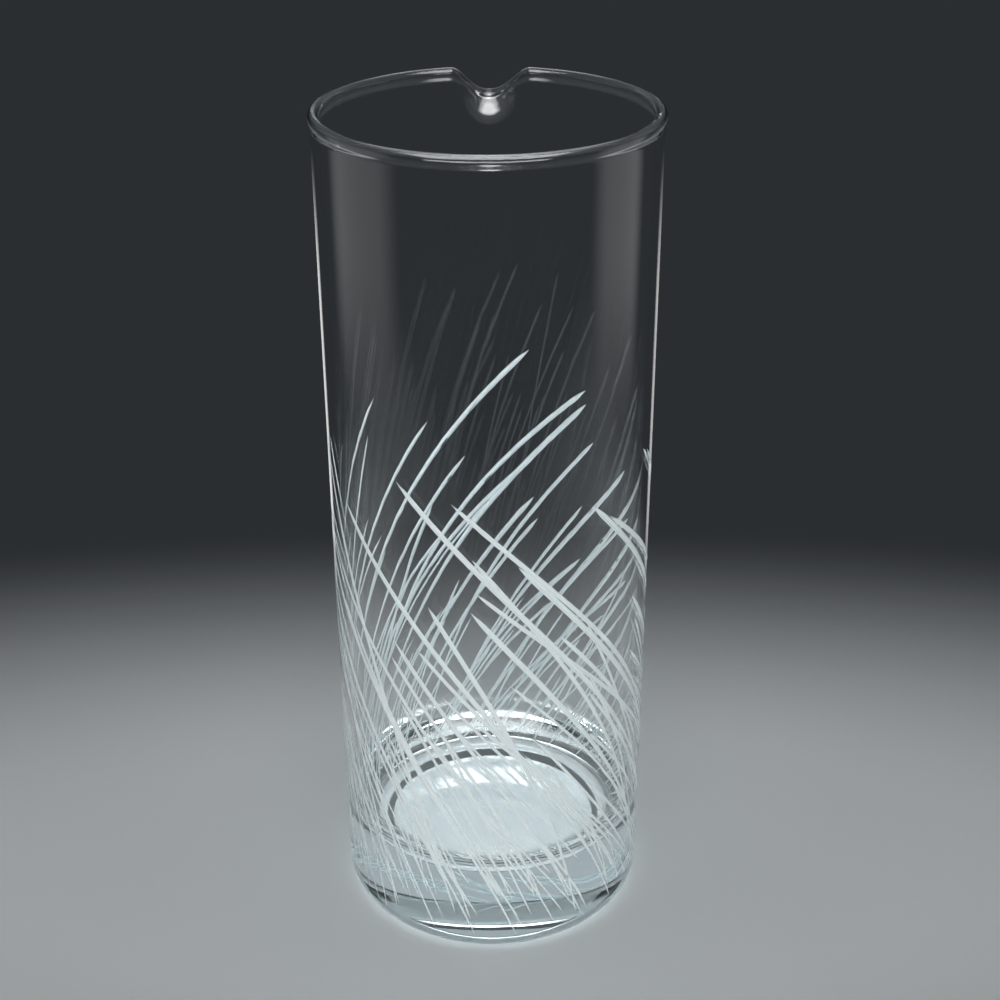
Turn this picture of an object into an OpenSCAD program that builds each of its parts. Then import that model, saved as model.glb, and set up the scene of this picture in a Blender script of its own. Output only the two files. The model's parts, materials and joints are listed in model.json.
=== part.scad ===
// Straight-sided glass mixing pitcher, blown in one piece: a thin cylinder wall on a thick solid base,
// with a fire-polished bead round the rim and a pouring lip drawn out of the rim at +Y.
// Millimetres. The origin is on the cylinder's axis, in the plane that the foot stands on. +Z is up.

/* [Body] */
// Outside diameter of the straight wall
body_d = 94; // [84:1:108]
// Height of the rim above the table
body_h = 250; // [215:1:290]
// Thickness of the straight wall
wall_t = 2.5; // [2:0.1:3.2]

/* [Base] */
// Thickness of the solid glass under the floor, at the axis
base_t = 25; // [16:1:32]
// Radius of the heel, where the wall meets the foot
heel_r = 6; // [4:0.5:8]
// Radius that joins the floor to the wall inside
floor_r = 15.5; // [9:0.5:20]
// Width of the flat ring that the pitcher stands on
foot_w = 4; // [3:0.5:6]
// Rise of the hollow under the base, at the axis
kick_h = 2; // [1:0.25:3.5]

/* [Rim] */
// Width of the fire-polished bead, across the wall
bead_w = 3.3; // [2.8:0.1:4.2]
// Height of the bead, from the rim down to where it dies into the wall
bead_h = 4.5; // [3.5:0.25:7]
// How far the bead stands out past the wall
bead_proud = 0.45; // [0.2:0.05:0.8]

/* [Pouring lip] */
// Width of the lip where it leaves the rim
lip_w = 24; // [20:1:32]
// Width of the channel where it dies into the wall
channel_w = 33; // [33:1:42]
// Height of the wall that the channel takes up, measured down from the rim
channel_h = 34; // [32:1:44]
// How far the lip is drawn out past the wall
lip_reach = 7.5; // [5:0.5:11]
// How far the lip dips below the rim
lip_drop = 9; // [5:0.5:11]
// How far the glass turns outwards at the lip, in degrees
lip_turn = 75; // [60:1:85]

/* [Wheel-cut grass] */
// Number of tall blades of grass cut round the wall
blade_count = 18; // [12:1:24]
// Height of the tallest blade's tip above the table
blade_top = 165; // [150:1:168]
// Height of the shortest blade's tip
blade_low = 105; // [95:1:125]
// Height of the blades' feet above the heel
blade_foot = 1.5; // [1:0.25:4]
// Width of a cut where it is deepest, across the blade
blade_w = 1.8; // [1.4:0.1:2.4]
// Depth of a cut where it is deepest
blade_depth = 0.4; // [0.3:0.05:0.6]
// Height over which the wheel comes out of the glass at the tip
tip_len = 9; // [6:1:14]
// Height over which it goes in from the foot up
foot_len = 55; // [30:1:60]
// Lean of the blades at the foot, in degrees from upright
foot_lean = 21; // [15:1:28]
// Lean of the blades at the height of the tallest tip
top_lean = 45; // [35:1:50]

/* [Hidden] */
// Steps round the whole body, round a full circle of the heel or floor radius, and round the kick's
round_steps = 180;
fillet_steps = 96;
kick_steps = 1440;
// Steps across the lip, up its wall and over its bead
lip_steps = 44;
channel_steps = 14;
crown_steps = 10;
neck_steps = 4;
// What the cutters run past the glass
overrun = 4;
// How far the drawn stretch of wall laps into the round body, and how far inside its skin
seat_lap = 1;
seat_inset = 0.01;

body_r = body_d / 2;
bore_r = body_r - wall_t;
wall_mid_r = body_r - wall_t / 2;
foot_r = body_r - heel_r;
kick_r = foot_r - foot_w;
kick_dome_r = (kick_r * kick_r + kick_h * kick_h) / (2 * kick_h);

crown_r = bead_w / 2;
crown_mid_r = body_r + bead_proud - crown_r;
crown_z = body_h - crown_r;

channel_z = body_h - channel_h;
lip_half_angle = (channel_w / 2) / body_r * 180 / PI;
seat_angle = seat_lap / body_r * 180 / PI;
// The lip's centre line runs straight up, then round an arc of this radius
turn_r = lip_reach / (1 - cos(lip_turn));
turn_len = turn_r * lip_turn * PI / 180;
run_len = channel_h - lip_drop - turn_r * sin(lip_turn);

blade_z = heel_r + blade_foot;
// Steps along a blade's foot, its middle and its tip
foot_steps = 5;
blade_steps = 11;
tip_steps = 2;
// How far the wheel stands off the glass at a blade's ends
blade_clear = 0.1;
// What the wheel's section shows above the wall's face
blade_proud = 0.5;
// How far a blade is moved from its even place round the wall, as a share of the gap between blades
spread_share = 0.6;
// Each blade takes the next fraction of the golden ratio, which never repeats
golden = (sqrt(5) - 1) / 2;

function mix(a, b, share) = a + (b - a) * share;
// A ramp from 0 to 1 with level ends
function ease(share) = (1 - cos(180 * share)) / 2;
function fraction(x) = x - floor(x);

// The bead's outline as [radius, height], from the outer wall over the crown to the inner wall.
// Inset draws the outline into the glass all round.
function neck_points(from_r, to_r) = [
    for (i = [0 : neck_steps - 1])
        let (share = i / neck_steps)
            [mix(from_r, to_r, ease(share)), mix(body_h - bead_h, crown_z, share)]
];
function crown_points(r) = [
    for (i = [0 : crown_steps])
        let (a = 180 * i / crown_steps)
            [crown_mid_r + r * cos(a), crown_z + r * sin(a)]
];
function reversed(list) = [for (i = [len(list) - 1 : -1 : 0]) list[i]];
function bead_points(inset) = concat(
    neck_points(body_r - inset, crown_mid_r + crown_r - inset),
    crown_points(crown_r - inset),
    reversed(neck_points(bore_r + inset, crown_mid_r - crown_r + inset)));

// The wall's outline inside the lip's stretch: up the outside, over the bead and down the inside
function wall_points(r) = [
    for (i = [0 : channel_steps - 1])
        [r, mix(channel_z - seat_lap, body_h - bead_h, i / channel_steps)]
];
function lip_outline() = concat(
    wall_points(body_r - seat_inset),
    bead_points(seat_inset),
    reversed(wall_points(bore_r + seat_inset)));

// Where a point of the outline goes when the glass is drawn out as far as it is at the lip's middle
function drawn(point) =
    let (
        up = (point[1] - channel_z) * (run_len + turn_len) / channel_h,
        side = point[0] - wall_mid_r,
        turn = max(0, up - run_len) / turn_r * 180 / PI
    ) [
        wall_mid_r + turn_r * (1 - cos(turn)) + side * cos(turn),
        channel_z + min(up, run_len) + turn_r * sin(turn) - side * sin(turn)
    ];

// How much of that draw a point gets, by its distance from the lip's middle and its height
function draw_share(angle, z) =
    let (
        half_w = mix(channel_w, lip_w, (z - channel_z) / channel_h) / 2,
        off = abs(angle) * PI / 180 * body_r / half_w
    ) off < 1 ? (1 + cos(180 * off)) / 2 : 0;

function placed(point, angle) =
    let (p = mix(point, drawn(point), draw_share(angle, point[1])))
        [p[0] * sin(angle), p[0] * cos(angle), p[1]];

// The body of the glass, all round: foot, heel, wall, cavity and kick
module outer_outline() {
    translate([0, heel_r]) square([body_r, body_h - bead_h - heel_r]);
    square([foot_r, heel_r]);
    translate([foot_r, heel_r]) circle(heel_r, $fn = fillet_steps);
}

module cavity_outline() {
    translate([0, base_t + floor_r]) square([bore_r, body_h]);
    translate([0, base_t]) square([bore_r - floor_r, floor_r]);
    translate([bore_r - floor_r, base_t + floor_r]) circle(floor_r, $fn = fillet_steps);
}

module kick_outline() {
    intersection() {
        translate([0, kick_h - kick_dome_r]) circle(kick_dome_r, $fn = kick_steps);
        translate([0, -overrun]) square([kick_r + overrun, overrun + kick_h]);
    }
}

module round_body() {
    rotate_extrude($fn = round_steps) {
        difference() {
            outer_outline();
            cavity_outline();
            kick_outline();
        }
        polygon(bead_points(0));
        translate([crown_mid_r, crown_z]) circle(crown_r, $fn = fillet_steps);
    }
}

// The stretch of wall and rim that the lip replaces
module lip_gap() {
    reach = body_r + bead_proud + overrun;
    side = reach * tan(lip_half_angle);
    translate([0, 0, channel_z]) linear_extrude(channel_h + overrun)
        polygon([[0, 0], [side, reach], [-side, reach]]);
}

// The pouring lip: the wall's outline carried round in small steps, drawn out and down towards its middle
module pouring_lip() {
    outline = lip_outline();
    n = len(outline);
    points = [
        for (i = [0 : lip_steps])
            let (angle = (lip_half_angle + seat_angle) * (2 * i / lip_steps - 1))
                for (p = outline) placed(p, angle)
    ];
    sides = [
        for (i = [0 : lip_steps - 1], j = [0 : n - 1])
            let (a = i * n + j, b = i * n + (j + 1) % n)
                each [[a, a + n, b], [b, a + n, b + n]]
    ];
    // Each end is closed like a ladder, with rungs from the outer wall to the inner one
    last = lip_steps * n;
    ends = [
        for (j = [0 : (n - 3) / 2])
            let (out = j, in = n - 1 - j)
                each [
                    [out, out + 1, in],
                    [last + out, last + in, last + out + 1],
                    if (out + 1 < in - 1) each [
                        [out + 1, in - 1, in],
                        [last + out + 1, last + in, last + in - 1]
                    ]
                ]
    ];
    polyhedron(points, concat(sides, ends));
}

// Where each blade stands, and the height that its tip reaches
function blade_angle(k) = 360 * (k + spread_share * fraction(k * golden)) / blade_count;
function blade_tip(k) = mix(blade_low, blade_top, fraction((k + 1) * golden * golden));

// The blades' lean grows evenly with height, so they run side by side and none crosses another
function lean_at(z) = mix(tan(foot_lean), tan(top_lean), (z - blade_z) / (blade_top - blade_z));
function across_at(z) = (z - blade_z) * (tan(foot_lean) + lean_at(z)) / 2;

// Depth of the wheel's edge below the wall's face
function cut_depth(z, tip) =
    let (lift = min(1, (z - blade_z) / foot_len, (tip - z) / tip_len))
        mix(-blade_clear, blade_depth, sin(90 * lift));

// The wheel's V-section at one height: one flank, the edge in the glass, the other flank
function cut_section(angle, z, tip) =
    let (
        a = angle + across_at(z) / body_r * 180 / PI,
        lean = atan(lean_at(z)),
        depth = cut_depth(z, tip),
        half = (depth + blade_proud) * blade_w / (2 * blade_depth),
        out = [sin(a), cos(a), 0],
        side = [cos(a) * cos(lean), -sin(a) * cos(lean), -sin(lean)],
        centre = [0, 0, z]
    ) [
        centre + out * (body_r + blade_proud) - side * half,
        centre + out * (body_r - depth),
        centre + out * (body_r + blade_proud) + side * half
    ];

// The heights of one blade's sections, from its foot to its tip
function section_heights(tip) = concat(
    [for (i = [0 : foot_steps - 1]) mix(blade_z, blade_z + foot_len, i / foot_steps)],
    [for (i = [0 : blade_steps - 1]) mix(blade_z + foot_len, tip - tip_len, i / blade_steps)],
    [for (i = [0 : tip_steps]) mix(tip - tip_len, tip, i / tip_steps)]);

// What the wheel takes out for one blade: the V-section carried up the wall, deeper from the foot and
// shallower to the tip
module blade(angle, tip) {
    points = [for (z = section_heights(tip)) each cut_section(angle, z, tip)];
    last = len(points) - 3;
    flanks = [
        for (i = [0 : 3 : last - 3], j = [0 : 2])
            let (a = i + j, b = i + (j + 1) % 3)
                each [[a, a + 3, b], [b, a + 3, b + 3]]
    ];
    polyhedron(points, concat(flanks, [[0, 1, 2], [last + 2, last + 1, last]]));
}

module grass() {
    for (k = [0 : blade_count - 1]) blade(blade_angle(k), blade_tip(k));
}

module glass_body() {
    color([0.84, 0.92, 0.93, 0.4]) union() {
        difference() {
            round_body();
            lip_gap();
            grass();
        }
        pouring_lip();
    }
}

glass_body();
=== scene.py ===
import bpy
import json
import math
import numpy as np
from mathutils import Euler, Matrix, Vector

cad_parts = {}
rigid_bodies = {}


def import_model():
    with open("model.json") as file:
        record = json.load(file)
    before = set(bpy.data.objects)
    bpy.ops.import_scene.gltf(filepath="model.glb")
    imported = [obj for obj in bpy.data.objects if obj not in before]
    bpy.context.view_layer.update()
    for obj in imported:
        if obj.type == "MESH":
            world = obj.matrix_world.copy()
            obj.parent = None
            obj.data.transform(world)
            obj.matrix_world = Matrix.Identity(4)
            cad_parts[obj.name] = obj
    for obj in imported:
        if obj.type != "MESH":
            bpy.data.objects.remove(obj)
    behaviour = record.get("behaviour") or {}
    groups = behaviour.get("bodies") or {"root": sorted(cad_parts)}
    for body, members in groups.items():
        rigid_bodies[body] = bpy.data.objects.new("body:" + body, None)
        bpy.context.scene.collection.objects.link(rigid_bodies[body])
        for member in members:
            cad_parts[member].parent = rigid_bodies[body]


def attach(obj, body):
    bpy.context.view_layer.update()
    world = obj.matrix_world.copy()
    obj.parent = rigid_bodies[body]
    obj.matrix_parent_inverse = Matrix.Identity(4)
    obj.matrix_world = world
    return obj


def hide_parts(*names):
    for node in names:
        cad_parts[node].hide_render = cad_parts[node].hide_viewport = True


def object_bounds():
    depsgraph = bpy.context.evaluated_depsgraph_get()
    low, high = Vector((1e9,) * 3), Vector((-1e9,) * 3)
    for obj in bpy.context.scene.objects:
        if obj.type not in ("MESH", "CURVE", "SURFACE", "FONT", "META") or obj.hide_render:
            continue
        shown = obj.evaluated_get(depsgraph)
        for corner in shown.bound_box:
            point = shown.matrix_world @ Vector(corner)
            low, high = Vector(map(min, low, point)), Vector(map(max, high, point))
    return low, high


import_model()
cadLow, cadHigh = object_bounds()
mm = 0.001


# Helpers

def hexColor(text):
    # sRGB hex to the linear values that the shaders take
    parts = [int(text[i:i + 2], 16) / 255 for i in (1, 3, 5)]
    return (*[c / 12.92 if c <= 0.04045 else ((c + 0.055) / 1.055) ** 2.4 for c in parts], 1.0)


def addNode(tree, kind, inputs=None, **settings):
    # inputs gives each input, by name or number, a plain value, an output or a node's first output
    node = tree.nodes.new(kind)
    for name, value in settings.items():
        setattr(node, name, value)
    for key, value in (inputs or {}).items():
        if isinstance(value, bpy.types.Node):
            value = value.outputs[0]
        if isinstance(value, bpy.types.NodeSocket):
            tree.links.new(value, node.inputs[key])
        else:
            node.inputs[key].default_value = value
    return node


def newMaterial(name):
    material = bpy.data.materials.new(name)
    material.use_nodes = True
    material.node_tree.nodes.clear()
    return material, material.node_tree, material.node_tree.nodes.new("ShaderNodeOutputMaterial")


def newTree(name, **sockets):
    # A geometry tree with one geometry in and out, and named inputs, given by their kind
    tree = bpy.data.node_groups.new(name, "GeometryNodeTree")
    tree.interface.new_socket("Geometry", in_out="INPUT", socket_type="NodeSocketGeometry")
    tree.interface.new_socket("Geometry", in_out="OUTPUT", socket_type="NodeSocketGeometry")
    for kind, names in sockets.items():
        for socket in names:
            tree.interface.new_socket(socket, in_out="INPUT", socket_type="NodeSocket" + kind)
    given = tree.nodes.new("NodeGroupInput").outputs
    return tree, given, tree.nodes.new("NodeGroupOutput")


def addTree(piece, tree, values):
    modifier = piece.modifiers.new(tree.name, "NODES")
    modifier.node_group = tree
    for socket in tree.interface.items_tree:
        if socket.in_out == "INPUT" and socket.name in values:
            modifier[socket.identifier] = values[socket.name]


def newPiece(name, data):
    piece = bpy.data.objects.new(name, data)
    bpy.context.scene.collection.objects.link(piece)
    return piece


# Camera, at the photograph's place

cameraValues = {
    "place": (2.85 * mm, -431.3 * mm, 359.2 * mm),
    "down": 0.4830,  # radians below the horizon
    "roll": -0.00434,
    "lens": 59.22,
}


def makeCamera():
    data = bpy.data.cameras.new("camera")
    data.lens = cameraValues["lens"]
    camera = newPiece("camera", data)
    turn = Euler((math.pi / 2 - cameraValues["down"], 0, 0)).to_matrix()
    roll = Euler((0, 0, cameraValues["roll"])).to_matrix()
    camera.rotation_euler = (turn @ roll).to_euler()
    camera.location = cameraValues["place"]
    bpy.context.scene.camera = camera


makeCamera()
print("camera made")


# Materials

glassValues = {
    "tint": "#CBE4E7",  # colour that white light takes on deep in the glass
    "tintDensity": 5.0,  # per metre
    "ior": 1.52,
    "lampsThrough": "#F3F7F8",  # what lamps keep at each surface on their way through
    "rippleWidth": 6 * mm,  # the faint upright ripples that the drawn wall is left with
    "rippleLength": 70 * mm,
    "rippleDepth": 0.008 * mm,
}
groundValues = {
    "color": "#F2F6F7",
    "dullColor": "#CDD7DA",
    "grain": 0.35 * mm,  # size of the wheel's marks
    "through": 0.45,  # share of the light that comes through the ground skin, and not off it
    "cover": 0.86,
}


def clearGlass():
    # Soda-lime glass, blown and fire-polished: no roughness, faint ripples up the wall, and an aqua cast
    # only where it is thick. Rays from lamps go straight through, so that the base and the floor inside
    # are lit as by real glass.
    material, tree, out = newMaterial("fire_polished_soda_lime_glass")
    place = addNode(tree, "ShaderNodeTexCoord").outputs["Object"]
    width, length = 1 / glassValues["rippleWidth"], 1 / glassValues["rippleLength"]
    place = addNode(tree, "ShaderNodeVectorMath", {0: place, 1: (width, width, length)}, operation="MULTIPLY")
    waves = addNode(tree, "ShaderNodeTexNoise", {"Vector": place, "Scale": 1.0, "Detail": 1.0})
    ripple = addNode(tree, "ShaderNodeBump", {
        "Height": waves, "Strength": 1.0, "Distance": glassValues["rippleDepth"]})
    shader = addNode(tree, "ShaderNodeBsdfPrincipled", {
        "Base Color": (1, 1, 1, 1), "Roughness": 0.0, "IOR": glassValues["ior"], "Transmission Weight": 1.0,
        "Normal": ripple})
    volume = addNode(tree, "ShaderNodeVolumeAbsorption", {
        "Color": hexColor(glassValues["tint"]), "Density": glassValues["tintDensity"]})
    through = addNode(tree, "ShaderNodeBsdfTransparent", {"Color": hexColor(glassValues["lampsThrough"])})
    fromLamp = addNode(tree, "ShaderNodeLightPath").outputs["Is Shadow Ray"]
    mixed = addNode(tree, "ShaderNodeMixShader", {0: fromLamp, 1: shader, 2: through})
    tree.links.new(mixed.outputs[0], out.inputs["Surface"])
    tree.links.new(volume.outputs[0], out.inputs["Volume"])
    return material


def groundGlass():
    # The same glass where the wheel has ground it: a pale matt skin, mottled by the wheel's grit, that
    # light comes through as well as off
    material, tree, out = newMaterial("wheel_ground_glass")
    place = addNode(tree, "ShaderNodeTexCoord").outputs["Object"]
    fineness = 1 / groundValues["grain"]
    grain = addNode(tree, "ShaderNodeTexNoise", {"Vector": place, "Scale": fineness, "Detail": 2.0})
    dull, pale = hexColor(groundValues["dullColor"]), hexColor(groundValues["color"])
    color = addNode(tree, "ShaderNodeMix", {"Factor": grain, 6: dull, 7: pale}, data_type="RGBA").outputs[2]
    off = addNode(tree, "ShaderNodeBsdfDiffuse", {"Color": color})
    through = addNode(tree, "ShaderNodeBsdfTranslucent", {"Color": color})
    matt = addNode(tree, "ShaderNodeMixShader", {0: groundValues["through"], 1: off, 2: through})
    clear = addNode(tree, "ShaderNodeBsdfTransparent")
    skin = addNode(tree, "ShaderNodeMixShader", {0: groundValues["cover"], 1: clear, 2: matt})
    tree.links.new(skin.outputs[0], out.inputs["Surface"])
    return material


# The glass: a profile turned round the axis, with the lip drawn out of its rim

bodyValues = {
    "beadWidth": 3.3 * mm,
    "beadHeight": 4.5 * mm,
    "beadProud": 0.45 * mm,
    "wall": 2.5 * mm,
    "base": 25 * mm,
    "heelRadius": 6 * mm,
    "floorRadius": 15.5 * mm,
    "footWidth": 4 * mm,
    "kickHeight": 2 * mm,  # of the hollow under the base
    "edgeRow": 0.4 * mm,  # from each edge of the foot ring to the next row of the mesh
    "floorRings": (20 * mm, 10 * mm, 0),
    "steps": {"dome": 12, "heel": 16, "wall": 18, "neck": 8, "crown": 18, "corner": 28},
    "stations": 300,  # round the glass
    "crowding": 0.5,  # of the stations at the lip, from 0 to under 1
    "weld": 0.002 * mm,
}
sharpAngle = math.radians(14)
lipValues = {
    "leftWidth": 11.2 * mm,  # from the lip's middle, where it leaves the rim
    "rightWidth": 12.8 * mm,
    "channelWidth": 16.5 * mm,
    "channelHeight": 34 * mm,
    "reach": 7.5 * mm,
    "drop": 9 * mm,
    "turn": math.radians(75),
}
height = cadHigh.z
outerRadius = -cadLow.y - bodyValues["beadProud"]
boreRadius = outerRadius - bodyValues["wall"]
channelFoot = height - lipValues["channelHeight"]


def arc(centreR, centreZ, radius, start, end, steps):
    angles = np.radians(np.linspace(start, end, steps + 1))
    return [(centreR + radius * math.cos(a), centreZ + radius * math.sin(a)) for a in angles]


def necks(fromR, toR, steps):
    # The bead swells out of the wall along a half wave
    shares = np.linspace(0, 1, steps, endpoint=False)
    low = height - bodyValues["beadHeight"]
    rise = bodyValues["beadHeight"] - bodyValues["beadWidth"] / 2
    return [(fromR + (toR - fromR) * (1 - math.cos(math.pi * s)) / 2, low + rise * s) for s in shares]


def bodyProfile():
    # Radius and height of each row, from the middle of the underside, up the outside and down the bore
    v, steps = bodyValues, bodyValues["steps"]
    footR = outerRadius - v["heelRadius"]
    kickR = footR - v["footWidth"]
    domeR = (kickR ** 2 + v["kickHeight"] ** 2) / (2 * v["kickHeight"])
    domeEdge = math.degrees(math.acos(kickR / domeR))
    crownR = v["beadWidth"] / 2
    crownMid = outerRadius + v["beadProud"] - crownR
    cornerR = v["floorRadius"]
    wallRows = np.linspace(channelFoot, height - v["beadHeight"], steps["wall"], endpoint=False)
    points = arc(0, v["kickHeight"] - domeR, domeR, 90, domeEdge, steps["dome"])
    points += [(kickR + v["edgeRow"], 0), (footR - v["edgeRow"], 0)]
    points += arc(footR, v["heelRadius"], v["heelRadius"], -90, 0, steps["heel"])
    points += [(outerRadius, z) for z in wallRows]
    points += necks(outerRadius, crownMid + crownR, steps["neck"])
    points += arc(crownMid, height - crownR, crownR, 0, 180, steps["crown"])
    points += necks(boreRadius, crownMid - crownR, steps["neck"])[::-1]
    points += [(boreRadius, z) for z in wallRows[::-1]]
    points += arc(boreRadius - cornerR, v["base"] + cornerR, cornerR, 0, -90, steps["corner"])
    points += [(r, v["base"]) for r in v["floorRings"]]
    return points


def makeProfile():
    points = bodyProfile()
    curve = bpy.data.curves.new("profile", "CURVE")
    curve.dimensions = "3D"
    spline = curve.splines.new("POLY")
    spline.points.add(len(points) - 1)
    for point, (r, z) in zip(spline.points, points):
        point.co = (r, 0, z, 1)
    return newPiece("profile", curve)


def bodyTree():
    tree, given, out = newTree("turnedGlass", Int=("Stations",), Material=("Material",), Float=(
        "Crowding", "Wall Middle", "Outer Radius", "Channel Foot", "Channel Height", "Channel Half Width",
        "Left Half Width", "Right Half Width", "Straight Run", "Stretch", "Turn Radius", "Weld"))

    # One row of the grid for each profile point, one column for each station
    profile = given["Geometry"]
    rows = addNode(tree, "GeometryNodeAttributeDomainSize", {"Geometry": profile}, component="CURVE")
    columns = addNode(tree, "ShaderNodeMath", {0: given["Stations"], 1: 1.0}, operation="ADD")
    grid = addNode(tree, "GeometryNodeMeshGrid", {
        "Vertices X": rows.outputs["Point Count"], "Vertices Y": columns})
    index = addNode(tree, "GeometryNodeInputIndex")
    row = addNode(tree, "ShaderNodeMath", {0: index, 1: columns}, operation="DIVIDE")
    row = addNode(tree, "ShaderNodeMath", {0: row}, operation="FLOOR")
    column = addNode(tree, "ShaderNodeMath", {0: index, 1: columns}, operation="MODULO")
    position = addNode(tree, "GeometryNodeInputPosition")
    sample = addNode(tree, "GeometryNodeSampleIndex", {
        "Geometry": profile, "Value": position, "Index": row}, data_type="FLOAT_VECTOR", domain="POINT")
    onProfile = addNode(tree, "ShaderNodeSeparateXYZ", {0: sample})
    r, z = onProfile.outputs["X"], onProfile.outputs["Z"]

    # The stations crowd at the lip, which is at angle 0
    even = addNode(tree, "ShaderNodeMapRange", {
        "Value": column, "From Max": given["Stations"], "To Min": -math.pi, "To Max": math.pi})
    swing = addNode(tree, "ShaderNodeMath", {0: even}, operation="SINE")
    swing = addNode(tree, "ShaderNodeMath", {0: swing, 1: given["Crowding"]}, operation="MULTIPLY")
    angle = addNode(tree, "ShaderNodeMath", {0: even, 1: swing}, operation="SUBTRACT")

    # Where a point goes at the lip's middle: straight up the channel, then round an arc
    above = addNode(tree, "ShaderNodeMath", {0: z, 1: given["Channel Foot"]}, operation="SUBTRACT")
    above = addNode(tree, "ShaderNodeMath", {0: above, 1: 0.0}, operation="MAXIMUM")
    up = addNode(tree, "ShaderNodeMath", {0: above, 1: given["Stretch"]}, operation="MULTIPLY")
    straight = addNode(tree, "ShaderNodeMath", {0: up, 1: given["Straight Run"]}, operation="MINIMUM")
    past = addNode(tree, "ShaderNodeMath", {0: up, 1: straight}, operation="SUBTRACT")
    turned = addNode(tree, "ShaderNodeMath", {0: past, 1: given["Turn Radius"]}, operation="DIVIDE")
    sine = addNode(tree, "ShaderNodeMath", {0: turned}, operation="SINE")
    cosine = addNode(tree, "ShaderNodeMath", {0: turned}, operation="COSINE")
    centre = addNode(tree, "ShaderNodeMath", {
        0: given["Wall Middle"], 1: given["Turn Radius"]}, operation="ADD")
    inward = addNode(tree, "ShaderNodeMath", {0: centre, 1: r}, operation="SUBTRACT")
    drawnIn = addNode(tree, "ShaderNodeMath", {0: inward, 1: cosine}, operation="MULTIPLY")
    drawnR = addNode(tree, "ShaderNodeMath", {0: centre, 1: drawnIn}, operation="SUBTRACT")
    level = addNode(tree, "ShaderNodeMath", {0: given["Channel Foot"], 1: straight}, operation="ADD")
    drawnZ = addNode(tree, "ShaderNodeMath", {0: inward, 1: sine, 2: level}, operation="MULTIPLY_ADD")

    # How much of that a point gets, by its distance round the wall from the lip's middle
    isRight = addNode(tree, "ShaderNodeMath", {0: angle, 1: 0.0}, operation="GREATER_THAN")
    rimHalf = addNode(tree, "ShaderNodeMix", {
        "Factor": isRight, "A": given["Left Half Width"], "B": given["Right Half Width"]})
    climbed = addNode(tree, "ShaderNodeMath", {0: above, 1: given["Channel Height"]}, operation="DIVIDE")
    half = addNode(tree, "ShaderNodeMix", {"Factor": climbed, "A": given["Channel Half Width"], "B": rimHalf})
    off = addNode(tree, "ShaderNodeMath", {0: angle}, operation="ABSOLUTE")
    off = addNode(tree, "ShaderNodeMath", {0: off, 1: given["Outer Radius"]}, operation="MULTIPLY")
    phase = addNode(tree, "ShaderNodeMapRange", {"Value": off, "From Max": half, "To Max": math.pi})
    wave = addNode(tree, "ShaderNodeMath", {0: phase}, operation="COSINE")
    share = addNode(tree, "ShaderNodeMath", {0: wave, 1: 0.5, 2: 0.5}, operation="MULTIPLY_ADD")
    isAbove = addNode(tree, "ShaderNodeMath", {0: above, 1: 0.0}, operation="GREATER_THAN")
    share = addNode(tree, "ShaderNodeMath", {0: share, 1: isAbove}, operation="MULTIPLY")
    r = addNode(tree, "ShaderNodeMix", {"Factor": share, "A": r, "B": drawnR})
    z = addNode(tree, "ShaderNodeMix", {"Factor": share, "A": z, "B": drawnZ})

    sine = addNode(tree, "ShaderNodeMath", {0: angle}, operation="SINE")
    cosine = addNode(tree, "ShaderNodeMath", {0: angle}, operation="COSINE")
    x = addNode(tree, "ShaderNodeMath", {0: r, 1: sine}, operation="MULTIPLY")
    y = addNode(tree, "ShaderNodeMath", {0: r, 1: cosine}, operation="MULTIPLY")
    place = addNode(tree, "ShaderNodeCombineXYZ", {"X": x, "Y": y, "Z": z})
    placed = addNode(tree, "GeometryNodeSetPosition", {"Geometry": grid, "Position": place})
    welded = addNode(tree, "GeometryNodeMergeByDistance", {"Geometry": placed, "Distance": given["Weld"]})
    real = addNode(tree, "GeometryNodeRealizeInstances", {"Geometry": welded})
    dressed = addNode(tree, "GeometryNodeSetMaterial", {"Geometry": real, "Material": given["Material"]})
    tree.links.new(dressed.outputs[0], out.inputs[0])
    return tree


# The grass: blades cut into the wall with a mitre-edged wheel

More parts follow.
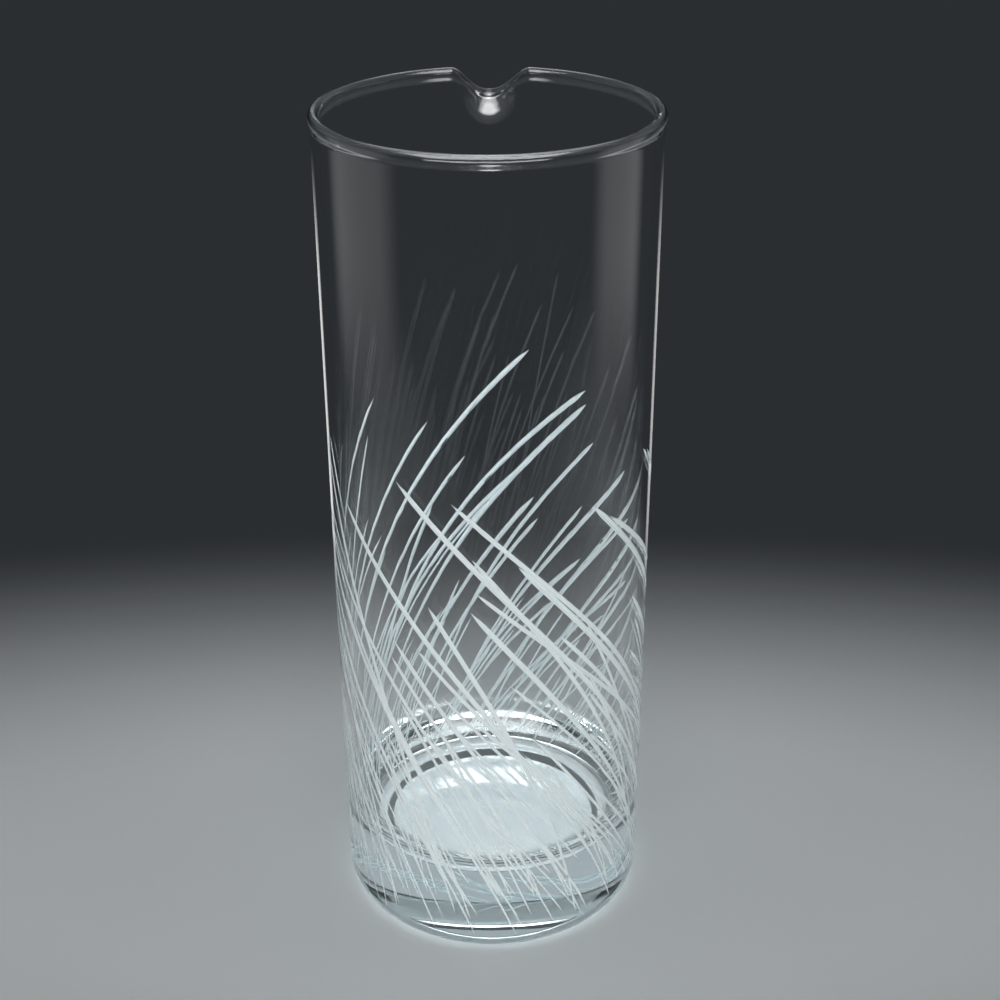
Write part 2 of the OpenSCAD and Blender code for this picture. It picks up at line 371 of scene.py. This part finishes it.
# "main" holds the blades that the solid has too, and the others stand among them. "Spread" and "Scatter"
# are shares of the gap between two blades: the first by rule and the second by chance.
bladeGroups = {
    "main": {
        "Blades": 18, "Points": 44, "Seed": 1, "Spread": 0.6, "Scatter": 0.0,
        "Lowest Foot": 7.5 * mm, "Highest Foot": 7.5 * mm, "Lowest Tip": 105 * mm, "Highest Tip": 165 * mm,
        "Least Foot Lean": math.tan(math.radians(21)), "Most Foot Lean": math.tan(math.radians(21)),
        "Least Top Lean": 1.0, "Most Top Lean": 1.0, "Least Width": 1.4 * mm, "Most Width": 1.75 * mm,
        "Foot Share": 0.3, "Foot Taper": 90 * mm, "Tip Taper": 6 * mm,
    },
    "tall": {
        "Blades": 22, "Points": 44, "Seed": 11, "Spread": 0.6, "Scatter": 0.7,
        "Lowest Foot": 7 * mm, "Highest Foot": 18 * mm, "Lowest Tip": 92 * mm, "Highest Tip": 162 * mm,
        "Least Foot Lean": 0.15, "Most Foot Lean": 0.55, "Least Top Lean": 0.45, "Most Top Lean": 1.35,
        "Least Width": 1.1 * mm, "Most Width": 1.5 * mm,
        "Foot Share": 0.35, "Foot Taper": 80 * mm, "Tip Taper": 5 * mm,
    },
    "middle": {
        "Blades": 50, "Points": 28, "Seed": 23, "Spread": 0.6, "Scatter": 0.8,
        "Lowest Foot": 7 * mm, "Highest Foot": 22 * mm, "Lowest Tip": 54 * mm, "Highest Tip": 116 * mm,
        "Least Foot Lean": 0.18, "Most Foot Lean": 0.62, "Least Top Lean": 0.45, "Most Top Lean": 1.25,
        "Least Width": 0.8 * mm, "Most Width": 1.25 * mm,
        "Foot Share": 0.45, "Foot Taper": 60 * mm, "Tip Taper": 4 * mm,
    },
    "low": {
        "Blades": 84, "Points": 16, "Seed": 37, "Spread": 0.6, "Scatter": 0.9,
        "Lowest Foot": 6.5 * mm, "Highest Foot": 30 * mm, "Lowest Tip": 30 * mm, "Highest Tip": 84 * mm,
        "Least Foot Lean": 0.18, "Most Foot Lean": 0.68, "Least Top Lean": 0.35, "Most Top Lean": 1.05,
        "Least Width": 0.6 * mm, "Most Width": 0.95 * mm,
        "Foot Share": 0.6, "Foot Taper": 25 * mm, "Tip Taper": 4 * mm,
    },
}
cutValues = {
    "depthShare": 0.222,  # of the cut's width
    "footEnd": 4 * mm,  # height over which the wheel goes in
    "leastSize": 0.04,  # share of its size that a cut keeps at its very ends
    "cutterProud": 0.2,  # share of its depth by which the cutter stands proud of the wall
    "cutterBreadth": 0.693,  # makes its three-sided section 1 wide at the wall's surface
    "skin": 0.012 * mm,  # thickness of the ground skin
    "golden": (math.sqrt(5) - 1) / 2,
}


def bladeTree():
    tree, given, out = newTree("grassBlades", Int=("Blades", "Points", "Seed"), Float=(
        "Spread", "Scatter", "Lowest Foot", "Highest Foot", "Lowest Tip", "Highest Tip", "Least Foot Lean",
        "Most Foot Lean", "Least Top Lean", "Most Top Lean", "Least Width", "Most Width", "Foot Share",
        "Foot Taper", "Foot End", "Tip Taper", "Wall Radius", "Depth Share"))
    golden = cutValues["golden"]
    index = addNode(tree, "GeometryNodeInputIndex")
    points = addNode(tree, "GeometryNodePoints", {"Count": given["Blades"]})

    # Chance, by each blade's number: scatter round the wall, foot height, foot lean, top lean and width
    ranges = [
        (-1.0, 1.0),
        (given["Lowest Foot"], given["Highest Foot"]),
        (given["Least Foot Lean"], given["Most Foot Lean"]),
        (given["Least Top Lean"], given["Most Top Lean"]),
        (given["Least Width"], given["Most Width"]),
    ]
    chances = []
    for step, (low, high) in enumerate(ranges):
        seed = addNode(tree, "ShaderNodeMath", {0: given["Seed"], 1: float(step)}, operation="ADD")
        chance = addNode(tree, "FunctionNodeRandomValue", {
            2: low, 3: high, "ID": index, "Seed": seed}, data_type="FLOAT")
        chances.append(chance.outputs[1])
    scatter, footHeight, footLean, topLean, width = chances

    # The blade's place round the wall: even, then moved by a fraction of the golden ratio, then scattered
    moved = addNode(tree, "ShaderNodeMath", {0: index, 1: golden}, operation="MULTIPLY")
    moved = addNode(tree, "ShaderNodeMath", {0: moved}, operation="FRACT")
    turn = addNode(tree, "ShaderNodeMath", {0: moved, 1: given["Spread"], 2: index}, operation="MULTIPLY_ADD")
    turn = addNode(tree, "ShaderNodeMath", {
        0: scatter, 1: given["Scatter"], 2: turn}, operation="MULTIPLY_ADD")
    footAngle = addNode(tree, "ShaderNodeMapRange", {
        "Value": turn, "From Max": given["Blades"], "To Max": 2 * math.pi}, clamp=False)

    # The height that its tip reaches, by another fraction of the golden ratio
    tip = addNode(tree, "ShaderNodeMath", {0: index, 1: 1.0}, operation="ADD")
    tip = addNode(tree, "ShaderNodeMath", {0: tip, 1: golden ** 2}, operation="MULTIPLY")
    tip = addNode(tree, "ShaderNodeMath", {0: tip}, operation="FRACT")
    tip = addNode(tree, "ShaderNodeMix", {"Factor": tip, "A": given["Lowest Tip"], "B": given["Highest Tip"]})
    own = {"footAngle": footAngle, "footHeight": footHeight, "tipHeight": tip, "footLean": footLean,
           "topLean": topLean, "width": width}
    for name, value in own.items():
        points = addNode(tree, "GeometryNodeStoreNamedAttribute", {
            "Geometry": points, "Name": name, "Value": value}, data_type="FLOAT", domain="POINT")
    line = addNode(tree, "GeometryNodeCurvePrimitiveLine", {"End": (0, 0, 1)})
    line = addNode(tree, "GeometryNodeResampleCurve", {"Curve": line, "Count": given["Points"]})
    lines = addNode(tree, "GeometryNodeInstanceOnPoints", {"Points": points, "Instance": line})
    lines = addNode(tree, "GeometryNodeRealizeInstances", {"Geometry": lines})

    # Up the blade, the lean grows evenly with height, from the foot's to the group's highest tip
    for name in own:
        own[name] = addNode(tree, "GeometryNodeInputNamedAttribute", {"Name": name}, data_type="FLOAT")
    along = addNode(tree, "GeometryNodeSplineParameter").outputs["Factor"]
    z = addNode(tree, "ShaderNodeMix", {"Factor": along, "A": own["footHeight"], "B": own["tipHeight"]})
    climb = addNode(tree, "ShaderNodeMath", {0: z, 1: own["footHeight"]}, operation="SUBTRACT")
    lean = addNode(tree, "ShaderNodeMapRange", {
        "Value": z, "From Min": own["footHeight"], "From Max": given["Highest Tip"],
        "To Min": own["footLean"], "To Max": own["topLean"]})
    lean = addNode(tree, "ShaderNodeMath", {0: lean, 1: own["footLean"]}, operation="ADD")
    lean = addNode(tree, "ShaderNodeMath", {0: lean, 1: 0.5}, operation="MULTIPLY")
    across = addNode(tree, "ShaderNodeMath", {0: climb, 1: lean}, operation="MULTIPLY")
    across = addNode(tree, "ShaderNodeMath", {0: across, 1: given["Wall Radius"]}, operation="DIVIDE")
    angle = addNode(tree, "ShaderNodeMath", {0: own["footAngle"], 1: across}, operation="ADD")
    sine = addNode(tree, "ShaderNodeMath", {0: angle}, operation="SINE")
    cosine = addNode(tree, "ShaderNodeMath", {0: angle}, operation="COSINE")
    outward = addNode(tree, "ShaderNodeCombineXYZ", {"X": sine, "Y": cosine})
    onWall = addNode(tree, "ShaderNodeVectorMath", {
        0: outward, "Scale": given["Wall Radius"]}, operation="SCALE")
    raised = addNode(tree, "ShaderNodeCombineXYZ", {"Z": z})
    place = addNode(tree, "ShaderNodeVectorMath", {0: onWall, 1: raised}, operation="ADD")
    lines = addNode(tree, "GeometryNodeSetPosition", {"Geometry": lines, "Position": place})
    lines = addNode(tree, "GeometryNodeSetCurveNormal", {"Curve": lines, "Normal": outward}, mode="FREE")

    # The wheel goes deeper and so wider from the foot up, and comes out over a short way at either end
    swell = addNode(tree, "ShaderNodeMapRange", {
        "Value": climb, "From Max": given["Foot Taper"], "To Min": given["Foot Share"]})
    fromFoot = addNode(tree, "ShaderNodeMath", {0: climb, 1: given["Foot End"]}, operation="DIVIDE")
    toTip = addNode(tree, "ShaderNodeMath", {0: own["tipHeight"], 1: z}, operation="SUBTRACT")
    toTip = addNode(tree, "ShaderNodeMath", {0: toTip, 1: given["Tip Taper"]}, operation="DIVIDE")
    lift = addNode(tree, "ShaderNodeMath", {0: fromFoot, 1: toTip}, operation="MINIMUM")
    lift = addNode(tree, "ShaderNodeMapRange", {"Value": lift, "To Max": math.pi / 2})
    lift = addNode(tree, "ShaderNodeMath", {0: lift}, operation="SINE")
    lift = addNode(tree, "ShaderNodeMath", {0: lift, 1: cutValues["leastSize"]}, operation="MAXIMUM")
    size = addNode(tree, "ShaderNodeMath", {0: swell, 1: lift}, operation="MULTIPLY")
    size = addNode(tree, "ShaderNodeMath", {0: size, 1: own["width"]}, operation="MULTIPLY")

    # A V-section, 1 wide at the wall's surface and standing a little proud of it. Its X points outwards,
    # and a circle of three points is 1.5 radii deep.
    proud = cutValues["cutterProud"]
    section = addNode(tree, "GeometryNodeCurvePrimitiveCircle", {"Resolution": 3, "Radius": 1.0})
    deep = addNode(tree, "ShaderNodeMath", {
        0: given["Depth Share"], 1: (1 + proud) / 1.5}, operation="MULTIPLY")
    flat = addNode(tree, "ShaderNodeCombineXYZ", {"X": deep, "Y": cutValues["cutterBreadth"], "Z": 1.0})
    drop = addNode(tree, "ShaderNodeMath", {0: given["Depth Share"], 1: -proud}, operation="MULTIPLY")
    drop = addNode(tree, "ShaderNodeCombineXYZ", {"X": drop})
    section = addNode(tree, "GeometryNodeTransform", {
        "Geometry": section, "Translation": drop, "Rotation": (0, 0, math.pi), "Scale": flat})
    cutters = addNode(tree, "GeometryNodeCurveToMesh", {
        "Curve": lines, "Profile Curve": section, "Scale": size, "Fill Caps": True})
    marked = addNode(tree, "GeometryNodeStoreNamedAttribute", {
        "Geometry": cutters, "Name": "wheelCut", "Value": True}, data_type="BOOLEAN", domain="FACE")
    tree.links.new(marked.outputs[0], out.inputs[0])
    return tree


def engravingTree():
    tree, given, out = newTree("wheelEngraving", Collection=("Cutters",), Material=("Material",))
    group = addNode(tree, "GeometryNodeCollectionInfo", {"Collection": given["Cutters"]})
    cutters = addNode(tree, "GeometryNodeRealizeInstances", {"Geometry": group})
    island = addNode(tree, "GeometryNodeInputMeshIsland").outputs["Island Index"]
    apart = addNode(tree, "GeometryNodeSplitToInstances", {
        "Geometry": cutters, "Group ID": island}, domain="FACE")
    cut = addNode(tree, "GeometryNodeMeshBoolean", operation="DIFFERENCE", solver="MANIFOLD")
    tree.links.new(given["Geometry"], cut.inputs["Mesh 1"])
    tree.links.new(apart.outputs["Instances"], cut.inputs["Mesh 2"])
    real = addNode(tree, "GeometryNodeRealizeInstances", {"Geometry": cut.outputs["Mesh"]})
    dressed = addNode(tree, "GeometryNodeSetMaterial", {"Geometry": real, "Material": given["Material"]})
    tree.links.new(dressed.outputs[0], out.inputs[0])
    return tree


def setNormals(mesh):
    # On the plain wall and bore, the floor and the foot ring, the normals point straight out, so that
    # the cuts leave no ripple round them. Elsewhere they stay as they are. Says which faces are cuts.
    cut = np.zeros(len(mesh.polygons), bool)
    mesh.attributes["wheelCut"].data.foreach_get("value", cut)
    mesh.shade_smooth()
    mesh.set_sharp_from_angle(angle=sharpAngle)
    co = np.zeros(len(mesh.vertices) * 3)
    mesh.vertices.foreach_get("co", co)
    co = co.reshape(-1, 3)
    corner = np.zeros(len(mesh.loops), int)
    mesh.loops.foreach_get("vertex_index", corner)
    total = np.zeros(len(mesh.polygons), int)
    mesh.polygons.foreach_get("loop_total", total)
    inCut = np.repeat(cut, total)
    radius = np.hypot(co[:, 0], co[:, 1])
    away = np.stack([co[:, 0], co[:, 1], np.zeros(len(co))], 1) / np.maximum(radius, mm)[:, None]
    tolerance = 0.02 * mm
    v = bodyValues
    z = co[:, 2]
    belowBead = z < height - v["beadHeight"] + tolerance
    onWall = (z > v["heelRadius"] - tolerance) & belowBead & (abs(radius - outerRadius) < tolerance)
    aboveCorner = z > v["base"] + v["floorRadius"] - tolerance
    onBore = aboveCorner & belowBead & (abs(radius - boreRadius) < tolerance)
    onFloor = (abs(z - v["base"]) < tolerance) & (radius < boreRadius - v["floorRadius"] + tolerance)
    onFoot = abs(z) < tolerance
    normals = np.zeros_like(co)
    normals[onWall] = away[onWall]
    normals[onBore] = -away[onBore]
    normals[onFloor] = (0, 0, 1)
    normals[onFoot] = (0, 0, -1)
    cornerNormals = normals[corner]
    cornerNormals[inCut] = 0
    mesh.normals_split_custom_set(cornerNormals.tolist())
    return cut


def makeGlass():
    clear, ground = clearGlass(), groundGlass()
    glass = makeProfile()
    v = lipValues
    turnRadius = v["reach"] / (1 - math.cos(v["turn"]))
    straightRun = v["channelHeight"] - v["drop"] - turnRadius * math.sin(v["turn"])
    addTree(glass, bodyTree(), {
        "Stations": bodyValues["stations"], "Crowding": bodyValues["crowding"], "Weld": bodyValues["weld"],
        "Wall Middle": (outerRadius + boreRadius) / 2, "Outer Radius": outerRadius,
        "Channel Foot": channelFoot, "Channel Height": v["channelHeight"],
        "Channel Half Width": v["channelWidth"], "Left Half Width": v["leftWidth"],
        "Right Half Width": v["rightWidth"], "Straight Run": straightRun, "Turn Radius": turnRadius,
        "Stretch": (straightRun + turnRadius * v["turn"]) / v["channelHeight"], "Material": clear})
    cutters = bpy.data.collections.new("cutters")
    blades = bladeTree()
    shared = {
        "Wall Radius": outerRadius, "Depth Share": cutValues["depthShare"], "Foot End": cutValues["footEnd"]}
    for name, values in bladeGroups.items():
        piece = bpy.data.objects.new(name, bpy.data.meshes.new(name))
        cutters.objects.link(piece)
        addTree(piece, blades, values | shared)
    bpy.context.scene.collection.children.link(cutters)
    addTree(glass, engravingTree(), {"Cutters": cutters, "Material": clear})
    print("trees built")

    mesh = bpy.data.meshes.new_from_object(glass.evaluated_get(bpy.context.evaluated_depsgraph_get()))
    mesh.name = "glass_body"
    for piece in [glass, *cutters.objects]:
        bpy.data.objects.remove(piece)
    bpy.data.collections.remove(cutters)
    print("glass cut:", len(mesh.polygons), "faces")
    cut = setNormals(mesh)
    body = newPiece("pitcher_glass", mesh)
    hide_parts("glass_body")
    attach(body, "root")

    # The ground skin: the cuts' own faces, a hair thick and half above and half below the surface
    cutFaces = [list(p.vertices) for p, isCut in zip(mesh.polygons, cut) if isCut]
    used = sorted({i for face in cutFaces for i in face})
    number = {old: new for new, old in enumerate(used)}
    places = [mesh.vertices[i].co[:] for i in used]
    faces = [[number[i] for i in face] for face in cutFaces]
    skinMesh = bpy.data.meshes.new("wheel_cuts")
    skinMesh.from_pydata(places, [], faces)
    skinMesh.materials.append(ground)
    skinMesh.shade_smooth()
    skinMesh.set_sharp_from_angle(angle=sharpAngle)
    skin = newPiece("wheel_cuts", skinMesh)
    thick = skin.modifiers.new("ground skin", "SOLIDIFY")
    thick.thickness = cutValues["skin"]
    thick.offset = 0
    mesh.attributes.remove(mesh.attributes["wheelCut"])
    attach(skin, "root")
    print("cuts dressed:", len(faces), "faces")


makeGlass()


# Floor, background and light

stageValues = {
    "floor": "#B9BDBF",
    "background": "#2B2E31",
    "ceiling": "#AEB5B9",  # seen only overhead, in the rim and the lip
    "ceilingHeight": 0.5,  # sine of the angle above the horizon at which it is at its palest
    # Between these two distances the floor's painted pool of light fades into painted darkness
    "paintedPoolFadesFrom": 0.06,  # metres from the glass's axis, to the front and back
    "paintedPoolFadesTo": 0.23,
    "floorHalf": 1.2,  # metres from the axis to its front and back edges
    "floorBreadth": 2.5,  # how much further it reaches sideways
    "worldLight": 0.16,
}


def makeFloor():
    # Pale card with a painted pool of light round the glass: away from the glass it melts into the
    # background, as a painted dark glow in the background's colour that stands for light falling off
    breadth, half = stageValues["floorBreadth"], stageValues["floorHalf"]
    corners = [(-breadth * half, -half, 0), (breadth * half, -half, 0), (breadth * half, half, 0),
               (-breadth * half, half, 0)]
    mesh = bpy.data.meshes.new("floor")
    mesh.from_pydata(corners, [], [(0, 1, 2, 3)])
    material, tree, out = newMaterial("matt_card_with_painted_pool")
    place = addNode(tree, "ShaderNodeTexCoord").outputs["Object"]
    place = addNode(tree, "ShaderNodeVectorMath", {0: place, 1: (1 / breadth, 1, 1)}, operation="MULTIPLY")
    away = addNode(tree, "ShaderNodeVectorMath", {0: place}, operation="LENGTH").outputs["Value"]
    # Painted pool of light: the lit card shows near the glass, and further out a painted dark glow takes over
    shown = addNode(tree, "ShaderNodeMapRange", {
        "Value": away, "From Min": stageValues["paintedPoolFadesTo"], "From Max": stageValues["paintedPoolFadesFrom"]},
        interpolation_type="SMOOTHSTEP")
    card = addNode(tree, "ShaderNodeBsdfPrincipled", {
        "Base Color": hexColor(stageValues["floor"]), "Roughness": 0.6, "Specular IOR Level": 0.2})
    # Painted darkness: a glow in the background's colour where the card's light is made to fall off
    paintedDarkGlow = addNode(tree, "ShaderNodeEmission", {"Color": hexColor(stageValues["background"])})
    paintedPoolOfLight = addNode(tree, "ShaderNodeMixShader", {0: shown, 1: paintedDarkGlow, 2: card})
    tree.links.new(paintedPoolOfLight.outputs[0], out.inputs["Surface"])
    mesh.materials.append(material)
    newPiece("floor", mesh)


def makeWorld():
    world = bpy.data.worlds.new("studio")
    world.use_nodes = True
    tree = world.node_tree
    tree.nodes.clear()
    rays = addNode(tree, "ShaderNodeLightPath").outputs
    seen = addNode(tree, "ShaderNodeMath", {
        0: rays["Is Camera Ray"], 1: rays["Is Glossy Ray"]}, operation="MAXIMUM")
    seen = addNode(tree, "ShaderNodeMath", {0: seen, 1: rays["Is Transmission Ray"]}, operation="MAXIMUM")
    light = addNode(tree, "ShaderNodeBackground", {
        "Color": (1, 1, 1, 1), "Strength": stageValues["worldLight"]})
    # The background is dark all round and turns pale overhead
    way = addNode(tree, "ShaderNodeTexCoord").outputs["Generated"]
    way = addNode(tree, "ShaderNodeSeparateXYZ", {0: way})
    overhead = addNode(tree, "ShaderNodeMapRange", {
        "Value": way.outputs["Z"], "From Max": stageValues["ceilingHeight"]}, interpolation_type="SMOOTHSTEP")
    color = addNode(tree, "ShaderNodeMix", {
        "Factor": overhead, 6: hexColor(stageValues["background"]), 7: hexColor(stageValues["ceiling"])},
        data_type="RGBA")
    back = addNode(tree, "ShaderNodeBackground", {"Color": color.outputs[2], "Strength": 1.0})
    mixed = addNode(tree, "ShaderNodeMixShader", {0: seen, 1: light, 2: back})
    addNode(tree, "ShaderNodeOutputWorld", {"Surface": mixed})
    bpy.context.scene.world = world


# Each lamp is a soft panel that faces the glass's axis at the height that it is aimed at, and dims
# towards its edges over the share of its size that is its edge. Lengths are in metres.
lamps = {
    "left": {
        "place": (-0.36, -0.02, 0.19), "size": (0.46, 0.38), "light": 0.8, "aim": 0.19, "edge": 0.3},
    "right": {
        "place": (0.36, 0.00, 0.19), "size": (0.34, 0.38), "light": 0.9, "aim": 0.19, "edge": 0.3},
    "above": {
        "place": (0, 0.05, 0.95), "size": (0.5, 0.5), "light": 1.2, "aim": 0, "edge": 0.1},
    "front": {
        "place": (0, -0.95, 0.22), "size": (1.6, 0.42), "light": 7.5, "aim": 0.12, "edge": 0.1},
    "leftGlint": {
        "place": (-0.36, -0.02, 0.19), "size": (0.46, 0.38), "light": 4.4, "aim": 0.19, "edge": 0.3},
    "rightGlint": {
        "place": (0.36, 0.00, 0.19), "size": (0.34, 0.38), "light": 5.0, "aim": 0.19, "edge": 0.3},
    "leftEdgeGlint": {
        "place": (-0.10, 0.14, 0.10), "size": (0.05, 0.20), "light": 1.2, "aim": 0.10, "edge": 0.3},
    "rightEdgeGlint": {
        "place": (0.10, 0.14, 0.10), "size": (0.05, 0.20), "light": 0.8, "aim": 0.10, "edge": 0.3},
    "rimGlint": {
        "place": (0, -0.30, 0.85), "size": (1.2, 0.8), "light": 8.0, "aim": 0.25, "edge": 0.2},
}


def makeLamps():
    for name, values in lamps.items():
        data = bpy.data.lights.new(name, "AREA")
        data.shape = "RECTANGLE"
        data.size, data.size_y = values["size"]
        data.energy = values["light"] * math.pi * data.size * data.size_y
        data.use_nodes = True
        tree = data.node_tree
        tree.nodes.clear()
        across = addNode(tree, "ShaderNodeNewGeometry").outputs["Parametric"]
        across = addNode(tree, "ShaderNodeSeparateXYZ", {0: across})
        level = 1.0
        for side in ("X", "Y"):
            near = across.outputs[side]
            far = addNode(tree, "ShaderNodeMath", {0: 1.0, 1: near}, operation="SUBTRACT")
            near = addNode(tree, "ShaderNodeMath", {0: near, 1: far}, operation="MINIMUM")
            near = addNode(tree, "ShaderNodeMapRange", {
                "Value": near, "From Max": values["edge"]}, interpolation_type="SMOOTHSTEP")
            level = addNode(tree, "ShaderNodeMath", {0: near, 1: level}, operation="MULTIPLY")
        glow = addNode(tree, "ShaderNodeEmission", {"Strength": level})
        addNode(tree, "ShaderNodeOutputLight", {"Surface": glow})
        lamp = newPiece("lamp_" + name, data)
        lamp.location = values["place"]
        lamp.visible_camera = False
        # Only the two panels overhead are seen through the glass, so that none at the sides is
        lamp.visible_transmission = name in ("above", "rimGlint")
        # The glints are for the glass alone: its streaks, its edges and its rim
        lamp.visible_diffuse = not name.endswith("Glint")
        aim = Vector((0, 0, values["aim"])) - lamp.location
        lamp.rotation_euler = aim.to_track_quat("-Z", "Y").to_euler()


makeFloor()
makeWorld()
makeLamps()
bpy.context.scene.view_settings.view_transform = "Standard"

print("scene made")
